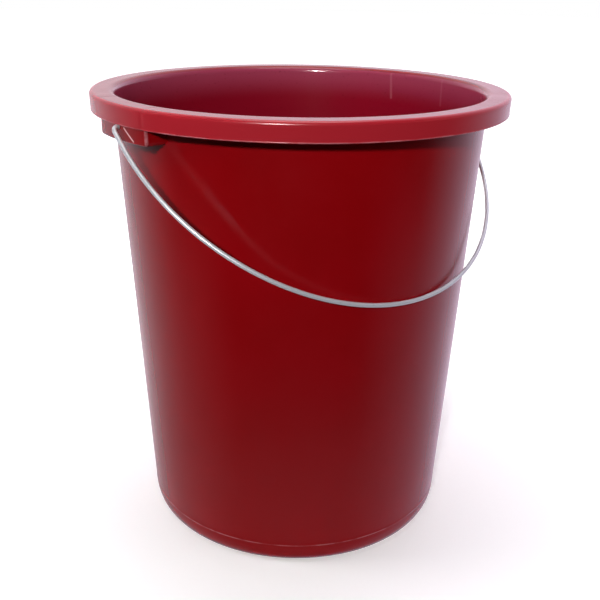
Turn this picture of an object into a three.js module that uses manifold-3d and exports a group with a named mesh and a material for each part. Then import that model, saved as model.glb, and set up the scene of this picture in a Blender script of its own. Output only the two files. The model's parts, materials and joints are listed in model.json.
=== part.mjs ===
// A round plastic wash bucket with a swinging wire bail.
//
// Millimetres, +Z up.  The origin is the centre of the foot ring, on the ground.
// The bail turns about an axis along X, through the two ears, and rests against the -Y side.
// The bucket is one moulding: base, wall, rim with its turned-down skirt, and two ears.
// The bail is one length of round steel wire, with a hook at each end.

import * as THREE from 'three';
import { mergeVertices } from 'three/addons/utils/BufferGeometryUtils.js';
import Module from 'manifold-3d';

// ---- driving dimensions: the bucket ----
const BUCKET_HEIGHT = 330;
const RIM_RADIUS = 150;
const RIM_THICKNESS = 2.6;
const RIM_EDGE_RADIUS = 1.8;
const MOUTH_FILLET = 5;
const SKIRT_HEIGHT = 13;
const SKIRT_THICKNESS = 2.2;
const SKIRT_DRAFT = 1.3;
const WALL_TOP_RADIUS = 134.8;
const WALL_BASE_RADIUS = 117.4;
const WALL_THICKNESS = 2.2;
const HEEL_HEIGHT = 14.5;
const HEEL_DEPTH = 6.5;
const FOOT_WIDTH = 6;
const FLOOR_THICKNESS = 2.6;
const BASE_RECESS = 4;
const RECESS_RUN = 2.4;

// ---- driving dimensions: the ribs under the base ----
const BASE_RIB_COUNT = 8;
const BASE_RIB_THICKNESS = 2;
const BASE_RIB_DEPTH = 2;
const HUB_RADIUS = 16;

// ---- driving dimensions: the ears ----
const EAR_WIDTH = 58.6;
const EAR_DROP = 10.5;
const EAR_INSET = 0.8;
const EAR_THICKNESS = 2.5;
const EAR_SIDE_THICKNESS = 2.2;
const EAR_CORNER_RADIUS = 2.5;
const PIVOT_DROP = 1.4;
const HOLE_CLEARANCE = 0.4;
const HOLE_HEADROOM = 2;

// ---- driving dimensions: the bail ----
const WIRE_DIAMETER = 3;
const WIRE_BEND_RADIUS = 4;
const BAIL_RIM_CLEARANCE = 0.6;
const BAIL_SHANK = 14.2;
const BAIL_CROWN_EXTRA = 4.4;
const BAIL_WALL_CLEARANCE = 0.3;
const HOOK_ROOF_CLEARANCE = 3;
const HOOK_EAR_CLEARANCE = 0.5;

// ---- fineness of the round shapes ----
const ROUND_SEGMENTS = 72;
const FILLET_DIVISIONS = 2;
const WIRE_SIDES = 10;
const HOLE_SIDES = 24;
const BEND_STEPS = 6;
const CROWN_STEPS = 60;
const BURIED = 0.5;

// ---- places worked out from the driving dimensions ----
const FOOT_RADIUS = WALL_BASE_RADIUS - HEEL_DEPTH;
const FOOT_INNER_RADIUS = FOOT_RADIUS - FOOT_WIDTH;
const WALL_SLOPE = (WALL_TOP_RADIUS - WALL_BASE_RADIUS) / (BUCKET_HEIGHT - HEEL_HEIGHT);
const CHANNEL_ROOF = BUCKET_HEIGHT - RIM_THICKNESS;
const SKIRT_BOTTOM = BUCKET_HEIGHT - SKIRT_HEIGHT;
const SKIRT_BOTTOM_RADIUS = RIM_RADIUS - SKIRT_DRAFT;
const EAR_BOTTOM = SKIRT_BOTTOM - EAR_DROP;
const EAR_RADIUS = SKIRT_BOTTOM_RADIUS - EAR_INSET;
const EAR_INNER_RADIUS = EAR_RADIUS - EAR_THICKNESS;
const PIVOT_HEIGHT = SKIRT_BOTTOM - PIVOT_DROP;
const WIRE_RADIUS = WIRE_DIAMETER / 2;
const BAIL_HALF_WIDTH = RIM_RADIUS + BAIL_RIM_CLEARANCE + WIRE_RADIUS;
const BAIL_CROWN_DEPTH = BAIL_HALF_WIDTH + BAIL_CROWN_EXTRA;
const HOOK_LENGTH = CHANNEL_ROOF - PIVOT_HEIGHT - HOOK_ROOF_CLEARANCE;
const HOLE_RADIUS = WIRE_RADIUS + HOLE_CLEARANCE;

const wasm = await Module();
wasm.setup();

// ---- helpers ----

// The outside radius of the wall at a height above the ground.
function wallRadius(z) {
  return WALL_BASE_RADIUS + WALL_SLOPE * (z - HEEL_HEIGHT);
}

// A closed three.js geometry as a solid that can be joined and cut.
function toSolid(geometry) {
  const bare = geometry.index ? geometry.toNonIndexed() : geometry.clone();
  bare.deleteAttribute('normal');
  bare.deleteAttribute('uv');
  const merged = mergeVertices(bare, 1e-4);
  const corners = merged.index.array;
  const triangles = [];
  for (let i = 0; i < corners.length; i += 3) {
    const [a, b, c] = corners.slice(i, i + 3);
    if (a !== b && b !== c && c !== a) triangles.push(a, b, c);
  }
  return new wasm.Manifold(new wasm.Mesh({
    numProp: 3,
    vertProperties: new Float32Array(merged.attributes.position.array),
    triVerts: new Uint32Array(triangles),
  }));
}

// The solid's own triangles as a three.js geometry.
function toGeometry(solid) {
  const mesh = solid.getMesh();
  const geometry = new THREE.BufferGeometry();
  geometry.setAttribute('position', new THREE.BufferAttribute(mesh.vertProperties, 3));
  geometry.setIndex(new THREE.BufferAttribute(mesh.triVerts, 1));
  geometry.computeVertexNormals();
  return geometry;
}

// A profile of (radius, height) points turned about Z.
function turned(points) {
  const geometry = new THREE.LatheGeometry(points, ROUND_SEGMENTS);
  geometry.rotateX(Math.PI / 2);
  return toSolid(geometry);
}

// A solid disc or cone between two heights.
function turnedPlug(lowZ, lowRadius, highZ, highRadius) {
  return turned([
    new THREE.Vector2(0, lowZ),
    new THREE.Vector2(lowRadius, lowZ),
    new THREE.Vector2(highRadius, highZ),
    new THREE.Vector2(0, highZ),
  ]);
}

// An outline in the YZ plane pushed along X, from x = 0 outwards.
function pushedAlongX(shape, length) {
  const options = { depth: length, bevelEnabled: false, curveSegments: 4 };
  const geometry = new THREE.ExtrudeGeometry(shape, options);
  const basis = new THREE.Matrix4().makeBasis(
    new THREE.Vector3(0, 1, 0),
    new THREE.Vector3(0, 0, 1),
    new THREE.Vector3(1, 0, 0),
  );
  geometry.applyMatrix4(basis);
  return toSolid(geometry);
}

// A box between two corners, turned about Z by an angle in degrees.
function block(low, high, turnDeg = 0) {
  const size = new THREE.Vector3().subVectors(high, low);
  const geometry = new THREE.BoxGeometry(size.x, size.y, size.z);
  const middle = new THREE.Vector3().addVectors(low, high).multiplyScalar(0.5);
  geometry.translate(middle.x, middle.y, middle.z);
  geometry.rotateZ(THREE.MathUtils.degToRad(turnDeg));
  return toSolid(geometry);
}

// ---- the bucket ----

// Base, wall, rim and skirt as one turned profile, outside first and then back down inside.
function bucketShell() {
  const mouthRadius = wallRadius(BUCKET_HEIGHT - MOUTH_FILLET) - WALL_THICKNESS;
  const quarter = Math.PI / 2;
  const profile = new THREE.Path();
  profile.moveTo(0, BASE_RECESS);
  profile.lineTo(FOOT_INNER_RADIUS - RECESS_RUN, BASE_RECESS);
  profile.lineTo(FOOT_INNER_RADIUS, 0);
  profile.lineTo(FOOT_RADIUS, 0);
  profile.absellipse(
    FOOT_RADIUS, HEEL_HEIGHT, HEEL_DEPTH, HEEL_HEIGHT, -quarter, 0, false);
  profile.lineTo(wallRadius(CHANNEL_ROOF), CHANNEL_ROOF);
  profile.lineTo(RIM_RADIUS - SKIRT_THICKNESS, CHANNEL_ROOF);
  profile.lineTo(SKIRT_BOTTOM_RADIUS - SKIRT_THICKNESS, SKIRT_BOTTOM);
  profile.lineTo(SKIRT_BOTTOM_RADIUS, SKIRT_BOTTOM);
  profile.lineTo(RIM_RADIUS, BUCKET_HEIGHT - RIM_EDGE_RADIUS);
  profile.absarc(
    RIM_RADIUS - RIM_EDGE_RADIUS, BUCKET_HEIGHT - RIM_EDGE_RADIUS, RIM_EDGE_RADIUS, 0, quarter);
  profile.lineTo(mouthRadius + MOUTH_FILLET, BUCKET_HEIGHT);
  profile.absarc(
    mouthRadius + MOUTH_FILLET, BUCKET_HEIGHT - MOUTH_FILLET, MOUTH_FILLET, quarter, Math.PI);
  profile.lineTo(WALL_BASE_RADIUS - WALL_THICKNESS, HEEL_HEIGHT);
  profile.absellipse(
    FOOT_RADIUS, HEEL_HEIGHT, HEEL_DEPTH - WALL_THICKNESS, HEEL_HEIGHT - FLOOR_THICKNESS,
    0, -quarter, true);
  profile.lineTo(FOOT_INNER_RADIUS + RECESS_RUN / 2, FLOOR_THICKNESS);
  profile.lineTo(FOOT_INNER_RADIUS - RECESS_RUN / 2, BASE_RECESS + FLOOR_THICKNESS);
  profile.lineTo(0, BASE_RECESS + FLOOR_THICKNESS);
  return turned(profile.getPoints(FILLET_DIVISIONS));
}

// Radial ribs and a round hub under the recessed base.
function baseRibs() {
  const low = BASE_RECESS - BASE_RIB_DEPTH;
  const high = BASE_RECESS + BURIED;
  const reach = FOOT_INNER_RADIUS - RECESS_RUN / 2 + BURIED;
  let ribs = turnedPlug(low, HUB_RADIUS, high, HUB_RADIUS);
  for (let i = 0; i < BASE_RIB_COUNT; i += 1) {
    const rib = block(
      new THREE.Vector3(HUB_RADIUS / 2, -BASE_RIB_THICKNESS / 2, low),
      new THREE.Vector3(reach, BASE_RIB_THICKNESS / 2, high),
      (360 * (i + 0.5)) / BASE_RIB_COUNT,
    );
    ribs = ribs.add(rib);
  }
  return ribs;
}

// The outline of an ear seen along X: square at the top, rounded at its lower corners.
function earOutline(halfWidth, low, high, corner) {
  const outline = new THREE.Shape();
  outline.moveTo(-halfWidth, high);
  outline.lineTo(-halfWidth, low + corner);
  outline.absarc(-halfWidth + corner, low + corner, corner, Math.PI, 1.5 * Math.PI);
  outline.lineTo(halfWidth - corner, low);
  outline.absarc(halfWidth - corner, low + corner, corner, 1.5 * Math.PI, 2 * Math.PI);
  outline.lineTo(halfWidth, high);
  outline.closePath();
  return outline;
}

// One ear at +X: a pocket open below, whose outer face carries on down from the skirt.
// The face laps up behind the skirt, so that there is plastic above the hole to lift by.
function ear() {
  const halfWidth = EAR_WIDTH / 2;
  const top = CHANNEL_ROOF + BURIED;
  const skinTop = PIVOT_HEIGHT + HOLE_RADIUS + HOLE_HEADROOM;
  const below = EAR_BOTTOM - 2 * EAR_DROP;
  const pocketHalf = halfWidth - EAR_SIDE_THICKNESS;
  const outside = pushedAlongX(
    earOutline(halfWidth, EAR_BOTTOM, top, EAR_CORNER_RADIUS), RIM_RADIUS)
    .intersect(turnedPlug(below, EAR_RADIUS, top, EAR_RADIUS));
  const wallCore = turnedPlug(
    below, wallRadius(below) - BURIED, BUCKET_HEIGHT, wallRadius(BUCKET_HEIGHT) - BURIED);
  const pocketSpace = turned([
    new THREE.Vector2(0, below),
    new THREE.Vector2(EAR_INNER_RADIUS, below),
    new THREE.Vector2(EAR_INNER_RADIUS, skinTop),
    new THREE.Vector2(RIM_RADIUS, skinTop),
    new THREE.Vector2(RIM_RADIUS, BUCKET_HEIGHT),
    new THREE.Vector2(0, BUCKET_HEIGHT),
  ]);
  const pocket = block(
    new THREE.Vector3(0, -pocketHalf, below),
    new THREE.Vector3(RIM_RADIUS, pocketHalf, BUCKET_HEIGHT),
  ).intersect(pocketSpace);
  return outside.subtract(pocket).subtract(wallCore);
}

// The hole that the bail's hook turns in, cut from inside the pocket out through the face.
function earHole() {
  const start = EAR_INNER_RADIUS - EAR_THICKNESS;
  const length = RIM_RADIUS - start + EAR_THICKNESS;
  const geometry = new THREE.CylinderGeometry(HOLE_RADIUS, HOLE_RADIUS, length, HOLE_SIDES);
  geometry.rotateZ(Math.PI / 2);
  geometry.translate(start + length / 2, 0, PIVOT_HEIGHT);
  return toSolid(geometry);
}

function bucketGeometry() {
  let body = bucketShell().add(baseRibs());
  for (const turn of [0, 180]) {
    body = body.add(ear().rotate([0, 0, turn]));
    body = body.subtract(earHole().rotate([0, 0, turn]));
  }
  return toGeometry(body);
}

// ---- the bail ----

// The wire's centre line, as points in the bail's own plane: x across, z down from the pivot.
function bailRoute() {
  const bend = WIRE_BEND_RADIUS;
  const hookX = EAR_INNER_RADIUS - HOOK_EAR_CLEARANCE - bend;
  const half = [new THREE.Vector3(hookX, 0, -HOOK_LENGTH)];
  for (let i = 0; i <= BEND_STEPS; i += 1) {
    const turn = (Math.PI / 2) * (i / BEND_STEPS);
    half.push(new THREE.Vector3(
      hookX + bend * (1 - Math.cos(turn)), 0, bend * (Math.sin(turn) - 1)));
  }
  for (let i = 0; i <= BEND_STEPS; i += 1) {
    const turn = (Math.PI / 2) * (i / BEND_STEPS);
    half.push(new THREE.Vector3(
      BAIL_HALF_WIDTH - bend * (1 - Math.sin(turn)), 0, -bend * (1 - Math.cos(turn))));
  }
  for (let i = 0; i < CROWN_STEPS / 2; i += 1) {
    const turn = Math.PI * (i / CROWN_STEPS);
    half.push(new THREE.Vector3(
      BAIL_HALF_WIDTH * Math.cos(turn), 0, -BAIL_SHANK - BAIL_CROWN_DEPTH * Math.sin(turn)));
  }
  const crown = new THREE.Vector3(0, 0, -BAIL_SHANK - BAIL_CROWN_DEPTH);
  const otherHalf = half.map((p) => new THREE.Vector3(-p.x, 0, p.z)).reverse();
  return [...half, crown, ...otherHalf];
}

// A curve through a list of points that gives back exactly those points.
class Route extends THREE.Curve {
  constructor(points) {
    super();
    this.points = points;
  }

  getPoint(t, target = new THREE.Vector3()) {
    const place = t * (this.points.length - 1);
    const index = Math.min(Math.floor(place), this.points.length - 2);
    return target.lerpVectors(this.points[index], this.points[index + 1], place - index);
  }

  getUtoTmapping(u) {
    return u;
  }
}

function bailGeometry() {
  const route = bailRoute();
  const section = new THREE.Shape();
  for (let i = 0; i < WIRE_SIDES; i += 1) {
    const turn = (2 * Math.PI * i) / WIRE_SIDES;
    const corner = [WIRE_RADIUS * Math.cos(turn), WIRE_RADIUS * Math.sin(turn)];
    if (i === 0) section.moveTo(...corner);
    else section.lineTo(...corner);
  }
  section.closePath();
  return new THREE.ExtrudeGeometry(section, {
    steps: route.length - 1,
    extrudePath: new Route(route),
    bevelEnabled: false,
  });
}

// How far the bail leans out from straight down when its crown rests against the wall.
function restLean() {
  const reach = BAIL_SHANK + BAIL_CROWN_DEPTH;
  const draft = Math.atan(WALL_SLOPE);
  const stand = (WIRE_RADIUS + BAIL_WALL_CLEARANCE) / Math.cos(draft);
  const wallAtPivot = wallRadius(PIVOT_HEIGHT);
  return Math.asin(((wallAtPivot + stand) * Math.cos(draft)) / reach) - draft;
}

// ---- the assembly ----

const model = new THREE.Group();

const bucket = new THREE.Mesh(
  bucketGeometry(),
  new THREE.MeshStandardMaterial({ color: 0x8c1420, roughness: 0.32, metalness: 0 }),
);
bucket.name = 'bucket_body';
model.add(bucket);

const bail = new THREE.Mesh(
  bailGeometry(),
  new THREE.MeshStandardMaterial({ color: 0xd0d4d8, roughness: 0.28, metalness: 1 }),
);
bail.name = 'wire_bail';
bail.position.z = PIVOT_HEIGHT;
bail.rotation.x = -restLean();
model.add(bail);

export default model;
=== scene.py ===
# %% [markdown]
# # A plastic wash bucket with a wire bail
# The real bucket is two pieces: one injection moulding in deep red polypropylene, and one length
# of bright steel wire that is bent to a bail and hooked through the two ears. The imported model
# already fixes their sizes, their places and how the bail swings. This file gives each piece its
# fine surface and its finish, then sets up a small studio around it. Lengths are in metres, with
# millimetre sizes written as a number times MM.

import json
import math

import bmesh
import bpy
from mathutils import Matrix, Vector


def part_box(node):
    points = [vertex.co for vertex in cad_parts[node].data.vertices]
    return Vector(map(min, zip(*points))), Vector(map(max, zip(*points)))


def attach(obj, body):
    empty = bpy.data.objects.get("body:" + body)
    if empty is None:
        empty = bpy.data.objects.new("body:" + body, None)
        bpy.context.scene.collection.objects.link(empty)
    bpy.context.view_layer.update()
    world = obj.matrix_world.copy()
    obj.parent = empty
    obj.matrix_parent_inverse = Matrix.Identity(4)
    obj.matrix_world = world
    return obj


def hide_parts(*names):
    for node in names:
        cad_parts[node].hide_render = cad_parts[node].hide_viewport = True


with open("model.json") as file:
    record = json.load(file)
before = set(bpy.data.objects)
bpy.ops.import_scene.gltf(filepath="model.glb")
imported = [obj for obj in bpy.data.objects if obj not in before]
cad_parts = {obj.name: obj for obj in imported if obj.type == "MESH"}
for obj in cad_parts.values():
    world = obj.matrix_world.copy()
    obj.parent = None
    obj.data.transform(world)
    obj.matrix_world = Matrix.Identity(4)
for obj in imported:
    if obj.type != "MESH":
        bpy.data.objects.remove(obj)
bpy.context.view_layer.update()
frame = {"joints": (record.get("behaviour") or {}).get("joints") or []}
MM = 0.001

# %% [markdown]
# ## Sizes
# The outer sizes come from the frame: the rim's radius and the bucket's height from its box, and
# the pivot's height from the hinge. The smaller sizes of the moulding, such as the wall, the heel
# and the ears, are the ones that the part was designed with. Only the skirt is more upright here
# than in the plain part, as it is on the real bucket.

# %% Sizes taken from the frame
_, body_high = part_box("bucket_body")
rim_radius = body_high.y
bucket_height = body_high.z
swing = next(j for j in frame["joints"] if j["name"] == "bail_swing")
pivot_height = swing["pos_m"][2]
print("rim radius", round(rim_radius, 4), "height", round(bucket_height, 4))

# %% Sizes of the moulding
wall_top_radius = 134.8 * MM
wall_base_radius = 117.4 * MM
wall_thickness = 2.2 * MM
heel_height = 14.5 * MM
heel_depth = 6.5 * MM
foot_width = 6 * MM
floor_thickness = 2.6 * MM
base_recess = 4 * MM
recess_run = 2.4 * MM
rim_thickness = 2.6 * MM
rim_edge_radius = 2.6 * MM
mouth_fillet = 5 * MM
skirt_height = 13 * MM
skirt_thickness = 2.2 * MM
skirt_draft = 0.5 * MM

wall_slope = (wall_top_radius - wall_base_radius) / (bucket_height - heel_height)
channel_roof = bucket_height - rim_thickness
skirt_bottom = bucket_height - skirt_height
skirt_radius = rim_radius - skirt_draft
foot_radius = wall_base_radius - heel_depth
foot_inner_radius = foot_radius - foot_width


def wall_radius(z):
    """The outside radius of the wall at a height above the ground."""
    return wall_base_radius + wall_slope * (z - heel_height)


# %% Sizes of the ears and of the wire
ear_width = 58.6 * MM
ear_drop = 10.5 * MM
ear_inset = 1.6 * MM
ear_thickness = 2.5 * MM
ear_side_thickness = 2.2 * MM
ear_edge_radius = 1.2 * MM
hole_clearance = 0.4 * MM
hole_headroom = 2 * MM
wire_radius = 1.5 * MM
wire_bend = 4 * MM
bail_rim_clearance = 0.6 * MM
bail_shank = 14.2 * MM
bail_crown_extra = 4.4 * MM
bail_wall_clearance = 0.3 * MM
hook_roof_clearance = 3 * MM
hook_ear_clearance = 0.5 * MM

ear_bottom = skirt_bottom - ear_drop
ear_radius = skirt_radius - ear_inset
ear_inner_radius = ear_radius - ear_thickness
ear_half_angle = math.asin(ear_width / 2 / ear_radius)
hole_radius = wire_radius + hole_clearance
bail_half_width = rim_radius + bail_rim_clearance + wire_radius
print("ear half angle", round(math.degrees(ear_half_angle), 2), "degrees")

# %% [markdown]
# ## The moulding's profile
# A bucket is a turned shape, so its section is drawn once and swept round the axis. Straight runs
# get rows of points too, because later steps press small marks into the surface and join the ears
# to it. Every real corner has a radius: the plastic would not leave the mould otherwise, and it is
# the radii that catch the light.

# %% Profile helpers


def run(start, end, steps):
    """Points from start up to, but not including, end."""
    a, b = Vector(start), Vector(end)
    return [a.lerp(b, i / steps) for i in range(steps)]


def bend(centre, radius_r, radius_z, first_deg, last_deg, steps):
    """Points on an elliptical corner, both ends included."""
    points = []
    for i in range(steps + 1):
        turn = math.radians(first_deg + (last_deg - first_deg) * i / steps)
        points.append(Vector((centre[0] + radius_r * math.cos(turn),
                              centre[1] + radius_z * math.sin(turn))))
    return points


# %% The underside and the outside of the wall
split_line_height = 0.16 * MM
split_line_half = 0.7 * MM
split_line_shape = ((-1, 0), (-0.4, 0.7), (0, 1), (0.4, 0.7), (1, 0))
corner_radius = 1.2 * MM
foot_edge_radius = 0.6 * MM
panel_middle = 20 * MM
row_gap = 3 * MM


def outside_points():
    """The underside, the heel and the outside of the wall, up to the rim's channel."""
    ring_edge = (foot_inner_radius - recess_run, base_recess)
    points = [Vector((0, base_recess))]
    points += run((panel_middle, base_recess), ring_edge, 5)
    points += run(ring_edge, (foot_inner_radius, foot_edge_radius), 3)
    points += bend((foot_inner_radius + foot_edge_radius, foot_edge_radius),
                   foot_edge_radius, foot_edge_radius, 180, 270, 3)
    points += bend((foot_radius, heel_height), heel_depth, heel_height, -90, -4, 16)
    ridge = heel_height + split_line_half
    for offset, height in split_line_shape:
        z = ridge + offset * split_line_half
        points.append(Vector((wall_radius(z) + height * split_line_height, z)))
    top = channel_roof - corner_radius
    first = ridge + row_gap
    points += run((wall_radius(first), first), (wall_radius(top), top), 44)
    return points


# %% The rim and the skirt
lip_radius = 0.5 * MM
lip_flash = 0.22 * MM
channel_draft = 0.2 * MM
channel_first_row = 2.5 * MM
lip_neck = 0.12 * MM
lip_height = 1.4 * MM


def rim_points():
    """The channel under the rim, the skirt, and the flat top as far as the mouth."""
    inner = rim_radius - skirt_thickness
    points = bend((wall_radius(channel_roof) + corner_radius, channel_roof - corner_radius),
                  corner_radius, corner_radius, 180, 90, 4)
    points += bend((inner - corner_radius, channel_roof - corner_radius),
                   corner_radius, corner_radius, 90, 0, 4)
    points += run((inner - channel_draft, channel_roof - channel_first_row),
                  (skirt_radius - skirt_thickness, skirt_bottom + lip_radius), 4)
    points += bend((skirt_radius - skirt_thickness + lip_radius, skirt_bottom + lip_radius),
                   lip_radius, lip_radius, 180, 270, 3)
    points += bend((skirt_radius - lip_radius + lip_flash, skirt_bottom + lip_radius),
                   lip_radius, lip_radius, -90, 35, 6)
    edge = bucket_height - rim_edge_radius
    points += run((skirt_radius + lip_neck, skirt_bottom + lip_height), (rim_radius, edge), 6)
    points += bend((rim_radius - rim_edge_radius, edge), rim_edge_radius, rim_edge_radius,
                   0, 90, 8)
    return points


# %% The mouth, the inside and the floor
top_first_row = 0.8 * MM


def inside_points():
    """The mouth's fillet, the inside of the wall and the floor, back to the axis."""
    mouth_radius = wall_radius(bucket_height - mouth_fillet) - wall_thickness
    flat_edge = mouth_radius + mouth_fillet
    points = run((rim_radius - rim_edge_radius - top_first_row, bucket_height),
                 (flat_edge, bucket_height), 5)
    points += bend((flat_edge, bucket_height - mouth_fillet), mouth_fillet, mouth_fillet,
                   90, 178, 12)
    low = wall_base_radius - wall_thickness
    first = bucket_height - mouth_fillet - row_gap
    points += run((wall_radius(first) - wall_thickness, first), (low, heel_height), 36)
    points += bend((foot_radius, heel_height), heel_depth - wall_thickness,
                   heel_height - floor_thickness, 0, -90, 12)
    panel = base_recess + floor_thickness
    step_out = foot_inner_radius + recess_run / 2
    step_in = foot_inner_radius - recess_run / 2
    points.append(Vector((foot_inner_radius + recess_run, floor_thickness)))
    points += run((step_out, floor_thickness), (step_in, panel), 3)
    points += run((step_in, panel), (panel_middle, panel), 6)
    points += [Vector((panel_middle, panel)), Vector((0, panel))]
    return points


# %% The whole section, up the outside and back down the inside
section = outside_points() + rim_points() + inside_points()
print("points in the section:", len(section))

# %% [markdown]
# ## Sweeping the section
# The columns are closer together beside the ears, where the surface carries sink marks a few
# millimetres wide, and further apart elsewhere. The two points on the axis become one vertex each.

# %% Mesh helpers


def new_piece(name, bm):
    """A scene object from a bmesh, with its faces pointing out."""
    bmesh.ops.recalc_face_normals(bm, faces=bm.faces)
    mesh = bpy.data.meshes.new(name)
    bm.to_mesh(mesh)
    bm.free()
    piece = bpy.data.objects.new(name, mesh)
    bpy.context.scene.collection.objects.link(piece)
    return piece


def even_angles(count):
    """Equal steps right round, in radians."""
    return [math.radians(360 / count * i) for i in range(count)]


# %% Sweep the section round the axis
coarse_step = 1.5
fine_step = 0.3
fine_reach = 18
rounding = 0.001


def column_angles():
    """Angles round the bucket in radians, with fine steps near both ears."""
    angles = []
    angle = 0.0
    while angle < 360 - rounding:
        angles.append(angle)
        from_ear = min(angle % 180, 180 - angle % 180)
        step = fine_step if from_ear < fine_reach - rounding else coarse_step
        angle = round(angle + step, 6)
    return [math.radians(a) for a in angles]


def swept_mesh(name, points, angles):
    """A closed mesh from an open section whose two ends lie on the axis."""
    bm = bmesh.new()
    columns = []
    first = bm.verts.new((0, 0, points[0].y))
    last = bm.verts.new((0, 0, points[-1].y))
    for turn in angles:
        c, s = math.cos(turn), math.sin(turn)
        columns.append([bm.verts.new((p.x * c, p.x * s, p.y)) for p in points[1:-1]])
    for i, column in enumerate(columns):
        following = columns[(i + 1) % len(columns)]
        bm.faces.new((first, following[0], column[0]))
        for j in range(len(column) - 1):
            bm.faces.new((column[j], following[j], following[j + 1], column[j + 1]))
        bm.faces.new((column[-1], following[-1], last))
    return new_piece(name, bm)


bucket = swept_mesh("bucket_shell", section, column_angles())
print("swept faces:", len(bucket.data.polygons))

# %% [markdown]
# ## Sink marks
# Where a side wall of an ear stands behind the rim, the plastic is thicker, cools last and shrinks
# a little. On the outside that leaves a shallow crease on the rim's top and on the skirt, in line
# with each side wall. The crease is little more than a tenth of a millimetre deep, yet a glossy
# surface shows it, so it is pressed into the real surface and not painted on.

# %% Press the sink marks into the rim and the skirt
sink_depth = 0.14 * MM
sink_half_width = 1.3 * MM
sink_reach = 3
faces_up = 0.7
faces_out = 0.5
top_skin = 0.1 * MM
side_wall_middle = (ear_width - ear_side_thickness) / 2


def press_sinks(mesh):
    """Move the rim's outer surface inwards, in line with the side walls of the ears."""
    pressed = 0
    normals = [v.normal.copy() for v in mesh.vertices]
    for vertex, normal in zip(mesh.vertices, normals):
        radius = math.hypot(vertex.co.x, vertex.co.y)
        outward = (normal.x * vertex.co.x + normal.y * vertex.co.y) / max(radius, MM)
        on_top = vertex.co.z > bucket_height - top_skin and normal.z > faces_up
        on_skirt = vertex.co.z > skirt_bottom + MM and outward > faces_out
        if radius < wall_top_radius or not (on_top or on_skirt):
            continue
        offset = (abs(vertex.co.y) - side_wall_middle) / sink_half_width
        if abs(offset) < sink_reach:
            vertex.co -= normal * sink_depth * math.exp(-offset * offset)
            pressed += 1
    return pressed


print("vertices pressed in:", press_sinks(bucket.data))

# %% [markdown]
# ## Joining closed pieces
# The ears and the ribs belong to the same moulding, so they are joined to the swept shell with
# boolean modifiers. Every piece is a closed mesh first, which the manifold solver needs, and the
# result is one clean skin with nothing left over inside.

# %% Boolean helpers


def combine(target, tool, operation):
    """Join or cut two closed pieces. The tool piece is used up."""
    modifier = target.modifiers.new("boolean", "BOOLEAN")
    modifier.object = tool
    modifier.operation = operation
    modifier.solver = "MANIFOLD"
    graph = bpy.context.evaluated_depsgraph_get()
    result = bpy.data.meshes.new_from_object(target.evaluated_get(graph))
    target.modifiers.clear()
    target.data = result
    bpy.data.objects.remove(tool)
    return target


def prism(name, plan, low, high):
    """A plan of (x, y) points pushed up from one height to another."""
    bm = bmesh.new()
    bottom = [bm.verts.new((x, y, low)) for x, y in plan]
    top = [bm.verts.new((x, y, high)) for x, y in plan]
    bm.faces.new(bottom)
    bm.faces.new(top)
    for i in range(len(plan)):
        j = (i + 1) % len(plan)
        bm.faces.new((bottom[i], bottom[j], top[j], top[i]))
    return new_piece(name, bm)


# %% [markdown]
# ## The ears
# Each ear is a hollow box that hangs under the rim: a curved outer face, two side walls, and no
# bottom, so that the hook of the bail has room to turn inside. The face is a grid of columns on
# its cylinder, and from the grid's edge a quarter round leads back to the flat sides. The block is
# then hollowed out with two plain prisms.

# %% The solid block of one ear
ear_corner_radius = 2.5 * MM
round_steps = 4
corner_steps = 5
face_columns = 24
face_rows = 6
block_back = 118 * MM
ear_overlap = 0.5 * MM
ear_top = channel_roof + ear_overlap


def ear_columns():
    """For each column of the face: its y, its lowest z, and which way its lower edge faces."""
    half = ear_width / 2 - ear_edge_radius
    low = ear_bottom + ear_edge_radius
    corner = ear_corner_radius - ear_edge_radius
    right = []
    for i in range(face_columns // 2 + 1):
        right.append(((half - corner) * i / (face_columns // 2), low, (0, -1)))
    for i in range(1, corner_steps + 1):
        turn = math.pi / 2 * i / corner_steps
        s, c = math.sin(turn), math.cos(turn)
        right.append((half - corner + corner * s, low + corner * (1 - c), (s, -c)))
    left = [(-y, z, (-facing[0], facing[1])) for y, z, facing in reversed(right[1:])]
    return left + right


def ear_block():
    """One ear at +X as a closed block with a rounded outer edge."""
    bm = bmesh.new()
    columns = ear_columns()
    grid = []
    for y, low, _ in columns:
        x = math.sqrt(ear_radius ** 2 - y ** 2)
        heights = [low + (ear_top - low) * k / face_rows for k in range(face_rows + 1)]
        grid.append([bm.verts.new((x, y, z)) for z in heights])
    for a, b in zip(grid, grid[1:]):
        for k in range(face_rows):
            bm.faces.new((a[k], b[k], b[k + 1], a[k + 1]))
    edge = [(vertex, (-1, 0)) for vertex in reversed(grid[0][1:])]
    edge += [(column[0], facing) for column, (_, _, facing) in zip(grid, columns)]
    edge += [(vertex, (1, 0)) for vertex in grid[-1][1:]]
    rings = [[vertex for vertex, _ in edge]]
    for k in range(1, round_steps + 1):
        turn = math.pi / 2 * k / round_steps
        out, back = ear_edge_radius * math.sin(turn), ear_edge_radius * (1 - math.cos(turn))
        rings.append([bm.verts.new((v.co.x - back, v.co.y + out * n[0], v.co.z + out * n[1]))
                      for v, n in edge])
    rings.append([bm.verts.new((block_back, v.co.y, v.co.z)) for v in rings[-1]])
    for inner, outer in zip(rings, rings[1:]):
        for i in range(len(inner) - 1):
            bm.faces.new((inner[i], inner[i + 1], outer[i + 1], outer[i]))
    bm.faces.new(rings[-1])
    left_side = [ring[0] for ring in reversed(rings[1:])]
    right_side = [ring[-1] for ring in rings[1:]]
    bm.faces.new(left_side + [column[-1] for column in grid] + right_side)
    return new_piece("ear", bm)


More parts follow.
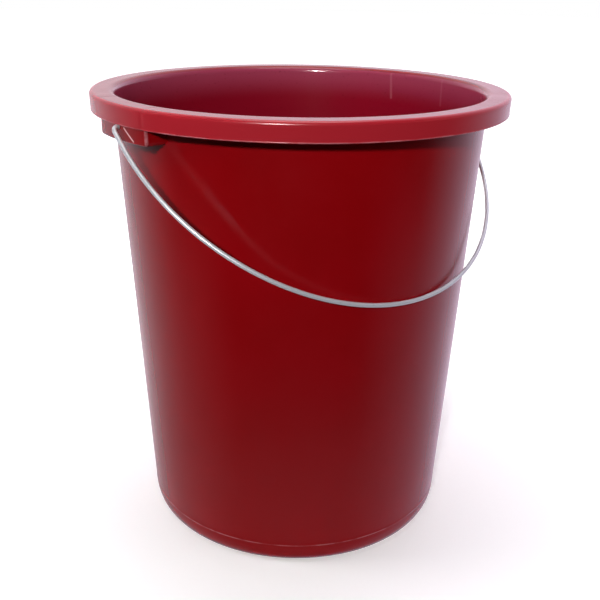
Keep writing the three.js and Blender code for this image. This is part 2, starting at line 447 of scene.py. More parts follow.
# %% Hollow the ear out and trim it to the wall
skin_top = pivot_height + hole_radius + hole_headroom
pocket_half = ear_width / 2 - ear_side_thickness
pocket_columns = 24
cutter_margin = 10 * MM
below_ear = ear_bottom - cutter_margin
above_ear = bucket_height + cutter_margin
weld_depth = 1 * MM
cut_overlap = 0.01 * MM


def inner_face_plan():
    """The pocket's plan: the curved back of the outer face, closed through the axis."""
    reach = math.asin(pocket_half / ear_inner_radius)
    arc = []
    for i in range(pocket_columns + 1):
        turn = reach * (2 * i / pocket_columns - 1)
        arc.append((ear_inner_radius * math.cos(turn), ear_inner_radius * math.sin(turn)))
    return [(block_back / 2, -pocket_half)] + arc + [(block_back / 2, pocket_half)]


def wall_core():
    """A plug that reaches into the middle of the wall's thickness."""
    low, high = below_ear, above_ear
    points = [Vector((0, low)), Vector((wall_radius(low) - weld_depth, low)),
              Vector((wall_radius(high) - weld_depth, high)), Vector((0, high))]
    return swept_mesh("core", points, even_angles(120))


def hollow_ear():
    """One ear at +X, with its pocket open below, ready to join the wall and the rim."""
    ear = ear_block()
    combine(ear, prism("pocket", inner_face_plan(), below_ear, skin_top), "DIFFERENCE")
    slot = [(block_back / 2, -pocket_half), (rim_radius, -pocket_half),
            (rim_radius, pocket_half), (block_back / 2, pocket_half)]
    combine(ear, prism("slot", slot, skin_top - cut_overlap, above_ear), "DIFFERENCE")
    return combine(ear, wall_core(), "DIFFERENCE")


# %% Join both ears and drill their holes
hole_sides = 32
plug_margin = 3 * MM


def hole_plug(side):
    """A round pin along X that cuts the hole in one ear."""
    bm = bmesh.new()
    ends = []
    for x in (ear_inner_radius - plug_margin, rim_radius + plug_margin):
        ring = []
        for i in range(hole_sides):
            turn = 2 * math.pi * i / hole_sides
            y, z = hole_radius * math.cos(turn), hole_radius * math.sin(turn)
            ring.append(bm.verts.new((side * x, y, pivot_height + z)))
        bm.faces.new(ring)
        ends.append(ring)
    for i in range(hole_sides):
        j = (i + 1) % hole_sides
        bm.faces.new((ends[0][i], ends[0][j], ends[1][j], ends[1][i]))
    return new_piece("hole", bm)


for side in (1, -1):
    ear = hollow_ear()
    if side < 0:
        ear.data.transform(Matrix.Rotation(math.pi, 4, "Z"))
    combine(bucket, ear, "UNION")
    combine(bucket, hole_plug(side), "DIFFERENCE")
print("faces with ears:", len(bucket.data.polygons))

# %% [markdown]
# ## Under the base
# The base is recessed, so that the bucket stands on its foot ring and not on the middle. Eight low
# ribs and a round hub stiffen the flat panel, and the hub keeps the small stub where the molten
# plastic came in. All of them taper a little, so that they leave the mould.

# %% Ribs, hub and gate stub
rib_count = 8
rib_half_root = 1.0 * MM
rib_half_edge = 0.75 * MM
rib_half_tip = rib_half_edge * 0.6
rib_round = 0.3 * MM
rib_depth = 2 * MM
hub_radius = 16 * MM
hub_round = 0.5 * MM
hub_draft = 0.1 * MM
gate_radius = 2.2 * MM
gate_round = 0.4 * MM
gate_draft = 0.2 * MM
gate_length = 0.9 * MM
buried = 0.5 * MM


def rib(turn):
    """One tapered rib from the hub to the foot ring."""
    reach = foot_inner_radius - recess_run / 2 + buried
    low, high = base_recess - rib_depth, base_recess + buried
    bm = bmesh.new()
    rows = []
    for half, z in ((rib_half_tip, low), (rib_half_edge, low + rib_round),
                    (rib_half_root, base_recess), (rib_half_root, high)):
        corners = ((hub_radius / 2, -half), (reach, -half), (reach, half), (hub_radius / 2, half))
        rows.append([bm.verts.new((x, y, z)) for x, y in corners])
    bm.faces.new(rows[0])
    bm.faces.new(rows[-1])
    for lower, upper in zip(rows, rows[1:]):
        for i in range(4):
            j = (i + 1) % 4
            bm.faces.new((lower[i], lower[j], upper[j], upper[i]))
    bmesh.ops.rotate(bm, verts=bm.verts, matrix=Matrix.Rotation(turn, 3, "Z"))
    return new_piece("rib", bm)


def hub():
    """The round hub with the gate stub at its middle."""
    low = base_recess - rib_depth
    tip = low - gate_length
    top = base_recess + buried
    points = [(0, tip), (gate_radius - gate_round, tip),
              (gate_radius, tip + gate_round), (gate_radius + gate_draft, low),
              (hub_radius - hub_round, low), (hub_radius, low + hub_round),
              (hub_radius + hub_draft, top), (0, top)]
    return swept_mesh("hub", [Vector(p) for p in points], even_angles(72))


for i in range(rib_count):
    combine(bucket, rib(2 * math.pi * (i + 0.5) / rib_count), "UNION")
combine(bucket, hub(), "UNION")
print("faces with ribs:", len(bucket.data.polygons))

# %% [markdown]
# ## Smooth shading
# The surface is smooth where it is one curve and crisp where two faces meet. Marking edges by
# their angle gives both, and the small rounds that were modelled keep the edges from looking cut.

# %% Smooth the bucket
crease_angle = math.radians(40)


def smooth(piece):
    """Smooth shading that stops at the sharper edges."""
    for polygon in piece.data.polygons:
        polygon.use_smooth = True
    piece.data.set_sharp_from_angle(angle=crease_angle)


smooth(bucket)
bucket.name = "bucket_moulding"

# %% [markdown]
# ## The bail
# The bail is one piece of round spring wire. Each end is bent twice: out of the ear's pocket
# through the hole, and then down beside the rim. Between the two shanks the wire is a half
# ellipse. A ring of points is carried along that route and keeps its place round the wire, so the
# texture map follows the wire as the drawn surface of real wire does.

# %% The wire's route, in the bail's own plane
wire_sides = 24
bend_steps = 10
crown_steps = 160
straight_step = 2 * MM


def straight(start, end):
    """Points along a straight stretch of wire, the end left out."""
    steps = max(2, round((Vector(end) - Vector(start)).length / straight_step))
    return run(start, end, steps)


def bail_half():
    """The route from the tip of one hook to just before the crown's middle."""
    hook_x = ear_inner_radius - hook_ear_clearance - wire_bend
    hook_length = channel_roof - pivot_height - hook_roof_clearance
    out_x = bail_half_width - wire_bend
    points = straight((hook_x, -hook_length), (hook_x, -wire_bend))
    points += bend((hook_x + wire_bend, -wire_bend), wire_bend, wire_bend, 180, 90, bend_steps)
    points += straight((hook_x + wire_bend, 0), (out_x, 0))[1:]
    points += bend((out_x, -wire_bend), wire_bend, wire_bend, 90, 0, bend_steps)
    points += straight((bail_half_width, -wire_bend), (bail_half_width, -bail_shank))[1:]
    crown_depth = bail_half_width + bail_crown_extra
    points += bend((0, -bail_shank), bail_half_width, crown_depth, 0, -90, crown_steps // 2)
    return points


def bail_route():
    """The whole centre line, from one hook's tip to the other's."""
    half = bail_half()
    return half + [Vector((-p.x, p.y)) for p in reversed(half[:-1])]


# %% Sweep the wire
end_chamfer = 0.35 * MM


def wire_rings(route):
    """Each point's place, direction and wire radius, with a small chamfer at both ends."""
    rings = []
    for i, point in enumerate(route):
        before, after = route[max(i - 1, 0)], route[min(i + 1, len(route) - 1)]
        rings.append([point, (after - before).normalized(), wire_radius])
    first, last = rings[0], rings[-1]
    tip_start = [first[0] - first[1] * end_chamfer, first[1], wire_radius - end_chamfer]
    tip_end = [last[0] + last[1] * end_chamfer, last[1], wire_radius - end_chamfer]
    return [tip_start] + rings + [tip_end]


def wire_mesh(name, route):
    """A round wire along a route in the XZ plane, with its own texture map."""
    bm = bmesh.new()
    uv_layer = bm.loops.layers.uv.new("UVMap")
    rings, lengths, travelled, previous = [], [], 0.0, None
    for point, direction, radius in wire_rings(route):
        if previous is not None:
            travelled += (point - previous).length
        previous = point
        side = Vector((-direction.y, direction.x))
        ring = []
        for k in range(wire_sides):
            turn = 2 * math.pi * k / wire_sides
            flat = point + side * (radius * math.cos(turn))
            ring.append(bm.verts.new((flat.x, radius * math.sin(turn), flat.y)))
        rings.append(ring)
        lengths.append(travelled)
    for i in range(len(rings) - 1):
        for k in range(wire_sides):
            j = (k + 1) % wire_sides
            face = bm.faces.new((rings[i][k], rings[i][j], rings[i + 1][j], rings[i + 1][k]))
            across = (k / wire_sides, (k + 1) / wire_sides)
            along = (lengths[i], lengths[i + 1])
            corners = ((0, 0), (1, 0), (1, 1), (0, 1))
            for loop, (u, v) in zip(face.loops, corners):
                loop[uv_layer].uv = (across[u], along[v])
    bm.faces.new(rings[0])
    bm.faces.new(rings[-1])
    return new_piece(name, bm), travelled


bail, wire_length = wire_mesh("bail_wire", bail_route())
smooth(bail)
print("wire length in metres:", round(wire_length, 3))

# %% Hang the bail in its rest place


def rest_lean():
    """How far the bail leans out from straight down when its crown rests against the wall."""
    reach = bail_shank + bail_half_width + bail_crown_extra
    draft = math.atan(wall_slope)
    stand = (wire_radius + bail_wall_clearance) / math.cos(draft)
    wall_at_pivot = wall_radius(pivot_height)
    return math.asin((wall_at_pivot + stand) * math.cos(draft) / reach) - draft


lean = Matrix.Rotation(-rest_lean(), 4, "X")
bail.data.transform(Matrix.Translation((0, 0, pivot_height)) @ lean)
print("lean in degrees:", round(math.degrees(rest_lean()), 2))

# %% [markdown]
# ## Which part each piece stands for
# The fine moulding stands for the plain bucket and the fine wire for the plain bail. Each rides on
# its own body, so that the wire swings about the hinge through the ears.

# %% Tie the pieces to the frame
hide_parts("bucket_body")
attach(bucket, "bucket")
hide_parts("wire_bail")
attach(bail, "bail")

# %% [markdown]
# ## Helpers for materials
# A material is a small network of nodes. These helpers add a node, set its values by name and
# join it up, so that each finish below reads as a list of what it is made of. Every pattern is
# placed in object coordinates, in metres, so its grain has a real size and swings with its piece.

# %% Node helpers
noise_roughness = 0.55


def new_material(name):
    """An empty node material with its output and its main shader."""
    material = bpy.data.materials.new(name)
    material.use_nodes = True
    tree = material.node_tree
    tree.nodes.clear()
    output = tree.nodes.new("ShaderNodeOutputMaterial")
    shader = tree.nodes.new("ShaderNodeBsdfPrincipled")
    tree.links.new(shader.outputs["BSDF"], output.inputs["Surface"])
    return material, tree, shader


def feed(tree, socket, value):
    """Put a number, a colour or another node's result into a socket."""
    if isinstance(value, bpy.types.NodeSocket):
        tree.links.new(value, socket)
    else:
        socket.default_value = value


def math_node(tree, operation, a, b=0.0):
    """One sum, product, power and so on."""
    node = tree.nodes.new("ShaderNodeMath")
    node.operation = operation
    feed(tree, node.inputs[0], a)
    feed(tree, node.inputs[1], b)
    return node.outputs[0]


def vector_node(tree, operation, a, b=(0, 0, 0), result="Vector"):
    """One sum, product or length of vectors."""
    node = tree.nodes.new("ShaderNodeVectorMath")
    node.operation = operation
    feed(tree, node.inputs[0], a)
    feed(tree, node.inputs[1], b)
    return node.outputs[result]


def ramp(tree, value, start, end, low=0.0, high=1.0, smooth_step=True):
    """A value that goes from low to high while the input goes from start to end."""
    node = tree.nodes.new("ShaderNodeMapRange")
    node.interpolation_type = "SMOOTHSTEP" if smooth_step else "LINEAR"
    feed(tree, node.inputs["Value"], value)
    for name, number in (("From Min", start), ("From Max", end), ("To Min", low), ("To Max", high)):
        node.inputs[name].default_value = number
    return node.outputs["Result"]


def noise(tree, place, grain, detail=3.0, stretch=(1, 1, 1)):
    """Even noise whose blobs are about one grain across, drawn out by stretch."""
    scaled = vector_node(tree, "MULTIPLY", place, stretch)
    node = tree.nodes.new("ShaderNodeTexNoise")
    feed(tree, node.inputs["Vector"], scaled)
    node.inputs["Scale"].default_value = 1 / grain
    node.inputs["Detail"].default_value = detail
    node.inputs["Roughness"].default_value = noise_roughness
    return node.outputs["Fac"]


def mix(tree, amount, first, second):
    """A blend of two colours."""
    node = tree.nodes.new("ShaderNodeMix")
    node.data_type = "RGBA"
    sockets = {s.identifier: s for s in node.inputs}
    feed(tree, sockets["Factor_Float"], amount)
    feed(tree, sockets["A_Color"], first)
    feed(tree, sockets["B_Color"], second)
    return next(s for s in node.outputs if s.identifier == "Result_Color")


def bump(tree, height, depth, below=None):
    """A relief of the given depth in metres, on top of another one if there is one."""
    node = tree.nodes.new("ShaderNodeBump")
    node.inputs["Strength"].default_value = 1.0
    node.inputs["Distance"].default_value = depth
    feed(tree, node.inputs["Height"], height)
    if below is not None:
        feed(tree, node.inputs["Normal"], below)
    return node.outputs["Normal"]


def object_place(tree):
    """Where the shaded point is, in metres, in the piece's own frame."""
    return tree.nodes.new("ShaderNodeTexCoord").outputs["Object"]


def stroke(tree, place, start, end, half_width):
    """A mask that is 1 on the straight stroke between two points and fades out beside it."""
    along = Vector(end) - Vector(start)
    offset = vector_node(tree, "SUBTRACT", place, tuple(start))
    share = vector_node(tree, "DOT_PRODUCT", offset, tuple(along / along.length_squared), "Value")
    held = math_node(tree, "MAXIMUM", math_node(tree, "MINIMUM", share, 1.0), 0.0)
    scale = tree.nodes.new("ShaderNodeVectorMath")
    scale.operation = "SCALE"
    scale.inputs[0].default_value = tuple(along)
    feed(tree, scale.inputs["Scale"], held)
    miss = vector_node(tree, "SUBTRACT", offset, scale.outputs["Vector"])
    distance = vector_node(tree, "LENGTH", miss, result="Value")
    return ramp(tree, distance, half_width, 0.0)


# %% [markdown]
# ## Red polypropylene
# The plastic is coloured right through, so its body colour is even, a deep red with hardly any
# green or blue in it. Where the moulding is thin, at the rim and the skirt, a lighter red is
# painted light: it stands in for the light that gets into the thin plastic and falls on the skirt.
# Inside, a pale band below the mouth is a painted sheen, standing in for the bright room that the
# upper inside wall sees. A material could be one colour all over, but then none of this would show,
# so masks worked out from the height and from the distance to the axis say where each shade
# belongs.

# %% The plastic's colours
plastic_red = (0.242, 0.0009, 0.0030, 1.0)
plastic_deep = (0.230, 0.0008, 0.0024, 1.0)
plastic_dark = (0.090, 0.0010, 0.0040, 1.0)
# painted light: a lighter red on the thin rim and skirt, standing in for light that gets into the
# thin plastic
painted_rim_light_red = (0.365, 0.0150, 0.0240, 1.0)
inside_red = (0.195, 0.0030, 0.0120, 1.0)
# painted sheen: a paler red for the band just inside the mouth
painted_mouth_sheen = (0.300, 0.0400, 0.0800, 1.0)
# one pale for real stress whitening and for painted highlights
whitening_and_highlight_pale = (0.62, 0.30, 0.34, 1.0)
# painted glint: the pale of the scratch on the front ear, standing in for the wire's reflection
painted_glint_pale = (0.85, 0.60, 0.62, 1.0)

# %% Masks of the rim and of the inside
flange_start = skirt_radius - 3 * MM
flange_full = skirt_radius - 1.5 * MM
flange_foot = skirt_bottom - 1 * MM
# how far below the mouth the painted sheen reaches
mouth_sheen_band = 28 * MM


def radius_from_axis(tree, place):
    """How far the shaded point is from the bucket's axis."""
    flat = vector_node(tree, "MULTIPLY", place, (1, 1, 0))
    return vector_node(tree, "LENGTH", flat, result="Value")


def height_of(tree, place):
    """How far the shaded point is above the ground."""
    return vector_node(tree, "DOT_PRODUCT", place, (0, 0, 1), "Value")


def painted_rim_light_mask(tree, place):
    """A mask of the rim and its skirt, where a lighter red is painted in for the light in the thin
    plastic.
    """
    outside = ramp(tree, radius_from_axis(tree, place), flange_start, flange_full)
    above = ramp(tree, height_of(tree, place), flange_foot, skirt_bottom)
    return math_node(tree, "MULTIPLY", outside, above)


def inside_face(tree, place):
    """A mask of the inside of the wall, and a mask of the band below the mouth where a sheen is
    painted.
    """
    height = height_of(tree, place)
    lean = math_node(tree, "MULTIPLY", math_node(tree, "SUBTRACT", height, heel_height), wall_slope)
    outer = math_node(tree, "ADD", lean, wall_base_radius)
    depth = math_node(tree, "SUBTRACT", outer, radius_from_axis(tree, place))
    inside = ramp(tree, depth, wall_thickness / 3, wall_thickness * 2 / 3)
    mouth_sheen_mask = ramp(tree, height, bucket_height - mouth_sheen_band, bucket_height)
    return inside, math_node(tree, "MULTIPLY", inside, mouth_sheen_mask)


# %% [markdown]
# Polypropylene turns whitish where it is bent, knocked or rubbed. That shows as two faint rubbed
# lines inside. The pale lines along the ridge at the heel and the lip of the skirt are painted
# highlights, where those edges catch the light. The upright corners of the ears are pale partly
# from whitening and partly from a painted highlight on their rounded edge, and the one scratch on
# the front ear is pale from a painted glint of the wire's reflection. The shape there is right
# already, so these marks are masks as well: thin lines and strokes, broken up by noise so that they
# fade in places.

# %% Masks of the painted highlight lines
highlight_break_grain = 14 * MM
highlight_break_least = 0.15
line_depth = 1 * MM
line_blend = 0.5 * MM
heel_highlight_half = 0.55 * MM
skirt_highlight_half = 0.5 * MM


def highlight_line_mask(tree, place, height, half_width, surface_radius):
    """A mask of a thin level line round the outside, broken up in places, where a highlight is
    painted.
    """
    off = math_node(tree, "ABSOLUTE", math_node(tree, "SUBTRACT", height_of(tree, place), height))
    line = ramp(tree, off, half_width, half_width / 3)
    start = surface_radius - line_depth
    outside = ramp(tree, radius_from_axis(tree, place), start, start + line_blend)
    broken_up = ramp(tree, noise(tree, place, highlight_break_grain, 3), 0.38, 0.62, highlight_break_least, 1.0)
    return math_node(tree, "MULTIPLY", math_node(tree, "MULTIPLY", line, outside), broken_up)


def painted_highlight_lines(tree, place):
    """A mask of the painted highlights on the heel's ridge and on the skirt's lip."""
    heel = highlight_line_mask(tree, place, heel_height + split_line_half, heel_highlight_half, wall_base_radius)
    skirt = highlight_line_mask(tree, place, skirt_bottom + lip_radius, skirt_highlight_half, skirt_radius)
    return math_node(tree, "MAXIMUM", heel, skirt)


# %% A mask of the ears' corners
corner_reach = 2.0 * MM
corner_full = 0.5 * MM
corner_grain = 1.6 * MM
corner_least = 0.35
corner_top = skirt_bottom + 0.5 * MM
corner_top_full = skirt_bottom - 1 * MM


# The pale drawn on these corners is partly stress whitening and partly a painted highlight on their
# rounded edge.
def ear_corners(tree, place):
    """A mask of the four upright corners of the ears, broken up by noise."""
    separate = tree.nodes.new("ShaderNodeSeparateXYZ")
    feed(tree, separate.inputs["Vector"], place)
    half = ear_width / 2
    corner_x = math.sqrt(ear_radius ** 2 - half ** 2)
    dx = math_node(tree, "SUBTRACT", math_node(tree, "ABSOLUTE", separate.outputs["X"]), corner_x)
    dy = math_node(tree, "SUBTRACT", math_node(tree, "ABSOLUTE", separate.outputs["Y"]), half)
    squares = math_node(tree, "ADD", math_node(tree, "MULTIPLY", dx, dx),
                        math_node(tree, "MULTIPLY", dy, dy))
    near = ramp(tree, math_node(tree, "SQRT", squares), corner_reach, corner_full)
    below = ramp(tree, separate.outputs["Z"], corner_top, corner_top_full)
    broken = ramp(tree, noise(tree, place, corner_grain, 4), 0.35, 0.7, corner_least, 1.0)
    return math_node(tree, "MULTIPLY", math_node(tree, "MULTIPLY", near, below), broken)


# %% Strokes: the scratch with its painted glint on the front ear, and the rubbed lines inside
scratch_glint_half = 0.85 * MM
rub_half = 1.7 * MM
rub_lines = (((127.6 * MM, 35.3 * MM, 328 * MM), (127.1 * MM, 33.3 * MM, 308 * MM), 0.13),
             ((131.1 * MM, -19.0 * MM, 327 * MM), (129.7 * MM, -20.1 * MM, 308 * MM), 0.08))


def ear_face_point(y, z):
    """A point on the outer face of the ear at -X."""
    return (-math.sqrt(ear_radius ** 2 - y ** 2), y, z)


# the stroke where the scratch and its painted glint lie
scratch_glint_start = ear_face_point(-7 * MM, 315.5 * MM)
scratch_glint_end = ear_face_point(-17 * MM, 308.4 * MM)

# %% The body colour
cloud_grain = 60 * MM
speck_grain = 2.2 * MM
speck_strength = 0.35
highlight_line_strength = 0.34
corner_whitening_and_highlight_strength = 0.5


def tint(tree, body, mask, strength, colour):
    """The body colour with some of another colour where the mask is."""
    return mix(tree, math_node(tree, "MULTIPLY", mask, strength), body, colour)


def plastic_colour(tree, place, corners, scratch_glint):
    """The plastic's shades, from the broad ones to the small marks."""
    inside, mouth_sheen_mask = inside_face(tree, place)
    clouds = ramp(tree, noise(tree, place, cloud_grain, 2), 0.35, 0.65)
    body = mix(tree, clouds, plastic_deep, plastic_red)
    body = mix(tree, inside, body, inside_red)
    # painted sheen: paler below the mouth, where the inside wall sees more of the bright room
    body = mix(tree, mouth_sheen_mask, body, painted_mouth_sheen)
    # painted light: the rim and the skirt are painted a lighter red
    body = mix(tree, painted_rim_light_mask(tree, place), body, painted_rim_light_red)
    for start, end, strength in rub_lines:
        body = tint(tree, body, stroke(tree, place, start, end, rub_half), strength, whitening_and_highlight_pale)
    specks = ramp(tree, noise(tree, place, speck_grain, 2), 0.66, 0.72)
    specks = math_node(tree, "MULTIPLY", specks, inside)
    body = tint(tree, body, specks, speck_strength, plastic_dark)
    # painted highlights: pale lines on the heel's ridge and on the skirt's lip
    body = tint(tree, body, painted_highlight_lines(tree, place), highlight_line_strength, whitening_and_highlight_pale)
    # partly stress whitening, partly a painted highlight on the ears' upright corners
    body = tint(tree, body, corners, corner_whitening_and_highlight_strength, whitening_and_highlight_pale)
    # painted glint: the scratch is painted pale where the wire's reflection lies on the ear
    return mix(tree, scratch_glint, body, painted_glint_pale)


# %% [markdown]
# The gloss changes over the surface as well. A moulding copies its polished mould with a faint
# waviness and a fine orange peel, and handling dulls it in broad patches and small rubs. The inside
# is glossier, and the scratch and the pale corners of the ears are dull. So the roughness is a sum
# of noises and masks, and a bump map carries the two kinds of relief.

# %% The gloss and the relief
handled_grain = 25 * MM
glossiest = 0.22
dullest = 0.25
rubbed_grain = 9 * MM
rubbed_stretch = (1, 1, 0.4)
rubbed_dulling = 0.01
inside_dulling = -0.07
corner_dulling = 0.25
scratch_glint_dulling = 0.2
wave_grain = 30 * MM
wave_depth = 0.05 * MM
peel_grain = 1.6 * MM
peel_depth = 0.006 * MM
mark_depth = 0.04 * MM


def plastic_roughness(tree, place, corners, scratch_glint):
    """How dull the plastic is at each point."""
    inside, _ = inside_face(tree, place)
    handled = ramp(tree, noise(tree, place, handled_grain, 4), 0.3, 0.75, glossiest, dullest)
    smears = noise(tree, place, rubbed_grain, 1, rubbed_stretch)
    rough = math_node(tree, "ADD", handled, ramp(tree, smears, 0.3, 0.7, 0.0, rubbed_dulling))
    for mask, dulling in ((inside, inside_dulling), (corners, corner_dulling),
                          (scratch_glint, scratch_glint_dulling)):
        rough = math_node(tree, "ADD", rough, math_node(tree, "MULTIPLY", mask, dulling))
    return rough


def plastic_relief(tree, place, corners, scratch_glint):
    """Waves, orange peel, and the small hollows of the marks."""
    waves = bump(tree, noise(tree, place, wave_grain, 1), wave_depth)
    peel = bump(tree, noise(tree, place, peel_grain, 3), peel_depth, waves)
    marks = math_node(tree, "MULTIPLY", math_node(tree, "ADD", corners, scratch_glint), -1.0)
    return bump(tree, marks, mark_depth, peel)


# %% The plastic's finish
plastic_ior = 1.49


def red_plastic():
    """The bucket's finish."""
    material, tree, shader = new_material("red_polypropylene")
    place = object_place(tree)
    corners = ear_corners(tree, place)
    scratch_glint = stroke(tree, place, scratch_glint_start, scratch_glint_end, scratch_glint_half)
    feed(tree, shader.inputs["Base Color"], plastic_colour(tree, place, corners, scratch_glint))
    feed(tree, shader.inputs["Roughness"], plastic_roughness(tree, place, corners, scratch_glint))
    feed(tree, shader.inputs["Normal"], plastic_relief(tree, place, corners, scratch_glint))
    shader.inputs["IOR"].default_value = plastic_ior
    return material


bucket.data.materials.clear()
bucket.data.materials.append(red_plastic())
print("nodes in the plastic:", len(bucket.active_material.node_tree.nodes))

# %% [markdown]
# ## Bright drawn wire
# Wire is pulled through a die, so its surface carries very fine streaks along its length. Here the
# texture map gives the direction: the noise is long along the wire and short round it, and drives
# both the roughness and a slight relief. A few darker flecks are worn plating. A perfect metal
# would only mirror the room, and go black wherever the room is dark, so half of this finish is
# matt, as dulled plating is.

# %% The steel's finish
steel_grey = (0.66, 0.68, 0.72, 1.0)
steel_bright = (0.80, 0.83, 0.88, 1.0)
steel_fleck = (0.36, 0.35, 0.34, 1.0)
fleck_grain = 1.5 * MM
fleck_strength = 0.35
fleck_dulling = 0.12
drawn_depth = 0.004 * MM
steel_glossiest = 0.30
steel_dullest = 0.42
metal_share = 0.5
streak_scale = (26, 60, 1)
fine_scale = (70, 220, 1)


def steel_wire():
    """The bail's finish."""
    material, tree, shader = new_material("bright_drawn_steel")
    place = object_place(tree)
    texture = tree.nodes.new("ShaderNodeTexCoord").outputs["UV"]
    streaks = noise(tree, texture, 1.0, 3, streak_scale)
    fine = noise(tree, texture, 1.0, 2, fine_scale)
    flecks = ramp(tree, noise(tree, place, fleck_grain, 5), 0.60, 0.72)
    bright = mix(tree, streaks, steel_grey, steel_bright)
    feed(tree, shader.inputs["Base Color"],
         tint(tree, bright, flecks, fleck_strength, steel_fleck))
    rough = ramp(tree, streaks, 0.3, 0.7, steel_glossiest, steel_dullest)
    feed(tree, shader.inputs["Roughness"],
         math_node(tree, "ADD", rough, math_node(tree, "MULTIPLY", flecks, fleck_dulling)))
    drawn = bump(tree, fine, drawn_depth)
    feed(tree, shader.inputs["Normal"], bump(tree, flecks, -drawn_depth, drawn))
    shader.inputs["Metallic"].default_value = metal_share
    return material


bail.data.materials.clear()
bail.data.materials.append(steel_wire())
print("nodes in the steel:", len(bail.active_material.node_tree.nodes))

# %% [markdown]
# ## The floor
# The bucket stands on a plain pale floor. It is one finish on two pieces: a small disc under the
# bucket and a wide ring round it. The plastic mirrors the room and not the floor, so both are
# hidden from reflections, and only the disc throws light back onto the wall. The finish glows a
# little, more so further out, so that the floor runs into the white room with no visible edge and
# yet keeps the bucket's shadow.

# %% The floor
mat_radius = 0.25
floor_radius = 8.0
floor_sides = 72
floor_grey = (0.86, 0.86, 0.86, 1.0)
floor_pale = (0.90, 0.90, 0.90, 1.0)
floor_cloud_grain = 400 * MM
floor_roughness = 0.9
floor_gloss = 0.1
near_glow = 0.30
far_glow = 0.90
glow_start = 0.15
glow_end = 0.60


def floor_material():
    """A matt white surface, faintly cloudy, whose slight glow grows away from the bucket."""
    material, tree, shader = new_material("pale_floor")
    place = object_place(tree)
    clouds = noise(tree, place, floor_cloud_grain, 3)
    feed(tree, shader.inputs["Base Color"], mix(tree, clouds, floor_grey, floor_pale))
    shader.inputs["Roughness"].default_value = floor_roughness
    shader.inputs["Specular IOR Level"].default_value = floor_gloss
    shader.inputs["Emission Color"].default_value = (1, 1, 1, 1)
    away = vector_node(tree, "LENGTH", place, result="Value")
    feed(tree, shader.inputs["Emission Strength"],
         ramp(tree, away, glow_start, glow_end, near_glow, far_glow))
    return material


def floor_ring(name, inner, outer, material):
    """A flat ring on the ground, or a disc if the inner radius is zero."""
    bm = bmesh.new()
    turns = even_angles(floor_sides)
    rings = [[bm.verts.new((radius * math.cos(t), radius * math.sin(t), 0)) for t in turns]
             for radius in (inner, outer) if radius > 0]
    if inner > 0:
        for i in range(floor_sides):
            j = (i + 1) % floor_sides
            bm.faces.new((rings[0][i], rings[1][i], rings[1][j], rings[0][j]))
    else:
        bm.faces.new(rings[0])
    ring = new_piece(name, bm)
    ring.data.materials.append(material)
    return ring


floor_white = floor_material()
near_floor = floor_ring("near_floor", 0, mat_radius, floor_white)
far_floor = floor_ring("far_floor", mat_radius, floor_radius, floor_white)
near_floor.visible_glossy = False
far_floor.visible_glossy = False
far_floor.visible_diffuse = False
print("floor reaches", floor_radius, "metres")

# %% [markdown]
# ## The camera
# The camera stands in front of the bucket and above its rim, and looks down at the mouth, so the
# wall tapers towards the floor. A longer lens would show it with straighter sides. Its distance and
# height follow the bucket's size, so the picture stays framed if the bucket is made larger.

# %% The camera
camera_turn = math.radians(39.25)
camera_distance = 4.2128 * rim_radius
camera_height = bucket_height + 0.5429 * rim_radius
camera_pitch = 0.3746
camera_roll = 0.0149
camera_lens = 51
camera_shift = 0.0046
camera_near = 0.01
camera_side = Vector((-math.sin(camera_turn), -math.cos(camera_turn), 0))
camera_right = Vector((-camera_side.y, camera_side.x, 0))


def studio_camera():
    """A camera in front of the bucket, looking down at its mouth."""
    data = bpy.data.cameras.new("camera")
    data.lens = camera_lens
    data.sensor_width = 36
    data.shift_x = camera_shift
    data.clip_start = camera_near
    camera = bpy.data.objects.new("camera", data)
    bpy.context.scene.collection.objects.link(camera)
    forward = -camera_side * math.cos(camera_pitch) - Vector((0, 0, math.sin(camera_pitch)))
    level = forward.cross(Vector((0, 0, 1))).normalized()
    upright = level.cross(forward)
    right = level * math.cos(camera_roll) + upright * math.sin(camera_roll)
    up = upright * math.cos(camera_roll) - level * math.sin(camera_roll)
    turn = Matrix((right, up, -forward)).transposed()
    place = camera_side * camera_distance + Vector((0, 0, camera_height))
    camera.matrix_world = Matrix.Translation(place) @ turn.to_4x4()
    return camera


bpy.context.scene.camera = studio_camera()
print("camera distance", round(camera_distance, 3), "height", round(camera_height, 3))

# %% [markdown]
# ## The room
# What a glossy wall shows is the room round it. The side of the room behind the camera is dark,
# which keeps the red deep in the middle, and the room gets brighter the further round one goes,
# which makes the wall pale towards both edges. A few lamps could not give such an even change, so
# the room is a gradient on the world: how bright a direction is depends on how far round it is from
# the dark side and on how high it is. The low directions, which the upright wall mirrors, have a
# gradient of their own. The light on the right is a little more violet. The room is fixed: it
# doesn't turn with the camera, which itself sees plain white.

# %% The room's light
room_dark_edge = 0.72
room_side_gain = 0.62
room_far_edge = 0.1
room_far_gain = 1.0
room_foot_gain = 0.5
room_near_floor = 0.10
room_left_tint = (1.05, 0.98, 1.08, 1.0)
room_right_tint = (1.25, 1.05, 1.32, 1.0)
room_white = (1, 1, 1, 1)
low_start = -0.28
low_full = -0.55
foot_start = -0.42
foot_full = -0.62
floor_start = -0.5
floor_full = -0.66
tint_start = -0.3
tint_full = 0.7


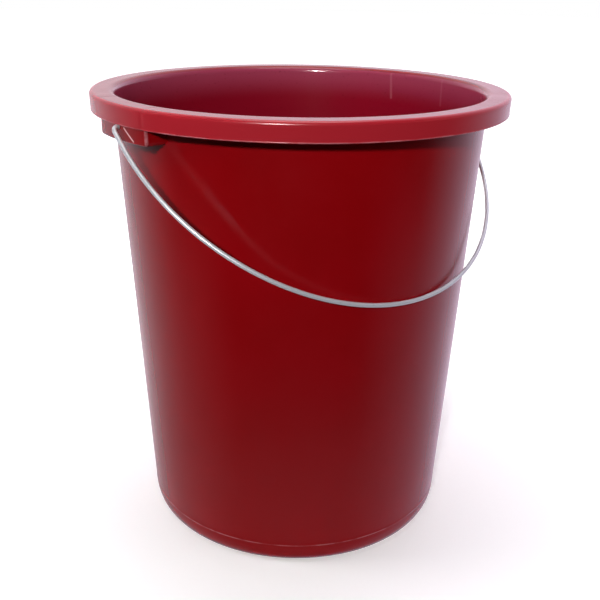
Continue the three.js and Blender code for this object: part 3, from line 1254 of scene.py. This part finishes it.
def studio_room():
    """A world that is dark on one side and white for the camera."""
    world = bpy.data.worlds.new("studio_room")
    world.use_nodes = True
    tree = world.node_tree
    tree.nodes.clear()
    output = tree.nodes.new("ShaderNodeOutputWorld")
    direction = tree.nodes.new("ShaderNodeTexCoord").outputs["Generated"]
    level = vector_node(tree, "NORMALIZE", vector_node(tree, "MULTIPLY", direction, (1, 1, 0)))
    towards = vector_node(tree, "DOT_PRODUCT", level, tuple(camera_side), "Value")
    height = height_of(tree, direction)
    low_light = ramp(tree, towards, room_dark_edge, -1.0, 0.0,
                     room_side_gain * (1 + room_dark_edge), smooth_step=False)
    high_light = ramp(tree, towards, room_far_edge, -1.0, 0.0,
                      room_far_gain * (1 + room_far_edge), smooth_step=False)
    lowness = ramp(tree, height, low_start, low_full)
    highness = math_node(tree, "SUBTRACT", 1.0, lowness)
    foot = ramp(tree, height, foot_start, foot_full, 1.0, room_foot_gain)
    low_part = math_node(tree, "MULTIPLY", math_node(tree, "MULTIPLY", low_light, lowness), foot)
    high_part = math_node(tree, "MULTIPLY", high_light, highness)
    floor_part = ramp(tree, height, floor_start, floor_full, 0.0, room_near_floor)
    total = math_node(tree, "ADD", math_node(tree, "ADD", low_part, high_part), floor_part)
    sideways = vector_node(tree, "DOT_PRODUCT", level, tuple(camera_right), "Value")
    rightness = ramp(tree, sideways, tint_start, tint_full)
    lit = tree.nodes.new("ShaderNodeBackground")
    feed(tree, lit.inputs["Strength"], total)
    feed(tree, lit.inputs["Color"], mix(tree, rightness, room_left_tint, room_right_tint))
    white = tree.nodes.new("ShaderNodeBackground")
    white.inputs["Strength"].default_value = 1.0
    white.inputs["Color"].default_value = room_white
    choose = tree.nodes.new("ShaderNodeMixShader")
    seen = tree.nodes.new("ShaderNodeLightPath").outputs["Is Camera Ray"]
    feed(tree, choose.inputs["Fac"], seen)
    tree.links.new(lit.outputs["Background"], choose.inputs[1])
    tree.links.new(white.outputs["Background"], choose.inputs[2])
    tree.links.new(choose.outputs["Shader"], output.inputs["Surface"])
    return world


bpy.context.scene.world = studio_room()
print("nodes in the room:", len(bpy.context.scene.world.node_tree.nodes))

# %% [markdown]
# ## The lamps
# Four square lamps light the bucket. The front one does the most: it is small and far away, a
# little to the left and above the rim, so the rim and the wire throw short sharp shadows, and its
# narrow beam fades down the wall. A wide lamp on each side lights the flanks. These two aren't
# mirrored in the plastic, because their bright squares would show at its edges. The last hangs
# overhead and lights the rim's top and the floor.

# %% Lamps
light_target = Vector((0, 0, 0.28))
wide_beam = 180
narrow_beam = 26


def soft_box(name, round_deg, up_deg, distance, size, power, beam_deg=wide_beam):
    """A square lamp that points at the bucket, so far round from the camera and so high."""
    data = bpy.data.lights.new(name, "AREA")
    data.size = size
    data.energy = power
    data.spread = math.radians(beam_deg)
    lamp = bpy.data.objects.new(name, data)
    bpy.context.scene.collection.objects.link(lamp)
    level = Matrix.Rotation(math.radians(round_deg), 3, "Z") @ camera_side
    up = math.radians(up_deg)
    towards = level * math.cos(up) + Vector((0, 0, math.sin(up)))
    turn = (-towards).to_track_quat("-Z", "Y").to_matrix().to_4x4()
    lamp.matrix_world = Matrix.Translation(light_target + towards * distance) @ turn
    return lamp


soft_box("front_soft_box", -11.7, 23, 2.5, 0.2, 1.0, narrow_beam)
left_box = soft_box("left_soft_box", -85, 28, 1.2, 0.5, 6.0)
right_box = soft_box("right_soft_box", 75, 15, 1.2, 0.5, 3.0)
left_box.visible_glossy = False
right_box.visible_glossy = False
soft_box("top_soft_box", 0, 88, 1.3, 0.8, 6.0)
print("lamps:", len(bpy.data.lights))

# %% [markdown]
# ## Colours
# The standard view transform shows the colours as they were mixed above. A film-like one would grey
# the deep red. Last, two boxes are measured and written down, one round the plain parts and one
# round the fine pieces, so that anyone can see that they agree.

# %% The look of the picture
bpy.context.scene.view_settings.view_transform = "Standard"

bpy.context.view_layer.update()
